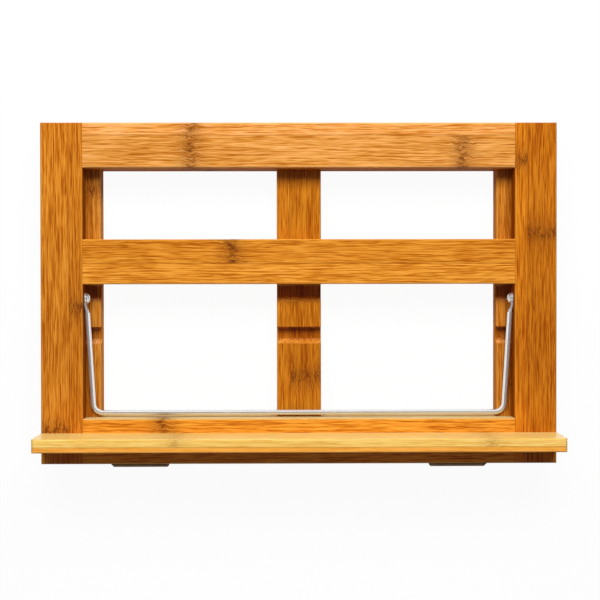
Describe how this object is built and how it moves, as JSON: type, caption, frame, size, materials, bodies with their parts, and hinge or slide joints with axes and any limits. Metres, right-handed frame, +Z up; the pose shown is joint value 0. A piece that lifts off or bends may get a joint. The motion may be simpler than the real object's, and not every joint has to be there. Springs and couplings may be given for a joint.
{
  "type": "folding bookstand",
  "caption": "Folding bamboo stand for a book or tablet: an easel frame with a ledge, hinged to a notched base frame and propped by a wire bail; stored folded flat.",
  "frame": {"origin": "middle of the box round the folded stand, on the table it lies on", "axes": "+X along the ledge, +Y from the hinge edge to the far edge, +Z up from the table"},
  "size_m": [0.345, 0.232, 0.0662],
  "materials": {
    "bamboo": "satin varnish",
    "ledge_bamboo": "satin varnish",
    "dowel_wood": "plain",
    "chrome_wire": "polished",
    "chrome_screw": "polished",
    "steel_screw": "zinc plated",
    "hinge_brass": "brass plated"
  },
  "bodies": {
    "base": {"base_left_strut": "bamboo", "base_centre_strut": "bamboo", "base_right_strut": "bamboo", "base_hinge_rail": "bamboo", "base_far_rail": "bamboo", "base_dowels": "dowel_wood", "base_hinge_leaf_left": "hinge_brass", "base_hinge_leaf_right": "hinge_brass", "hinge_pin_left": "hinge_brass", "hinge_pin_right": "hinge_brass", "base_hinge_screws": "hinge_brass"},
    "easel": {"easel_left_stile": "bamboo", "easel_right_stile": "bamboo", "easel_top_rail": "bamboo", "easel_middle_rail": "bamboo", "easel_bottom_rail": "bamboo", "easel_dowels": "dowel_wood", "ledge": "ledge_bamboo", "ledge_screws": "steel_screw", "easel_hinge_leaf_left": "hinge_brass", "easel_hinge_leaf_right": "hinge_brass", "easel_hinge_screws": "hinge_brass", "bail_screw_left": "chrome_screw", "bail_screw_right": "chrome_screw"},
    "bail": {"support_bail": "chrome_wire"}
  },
  "joints": [
    {"name": "easel_hinge", "type": "hinge", "parent": "base", "child": "easel", "pos_m": [0, -0.114, 0.0151], "axis": [1, 0, 0], "range_deg": [0, 120]},
    {"name": "bail_pivot", "type": "hinge", "parent": "easel", "child": "bail", "pos_m": [0, -0.0013, 0.0227], "axis": [1, 0, 0], "range_deg": [0, 54]}
  ],
  "couplings": [
    {"joint": "bail_pivot", "follows": "easel_hinge", "ratio": 0.45}
  ]
}
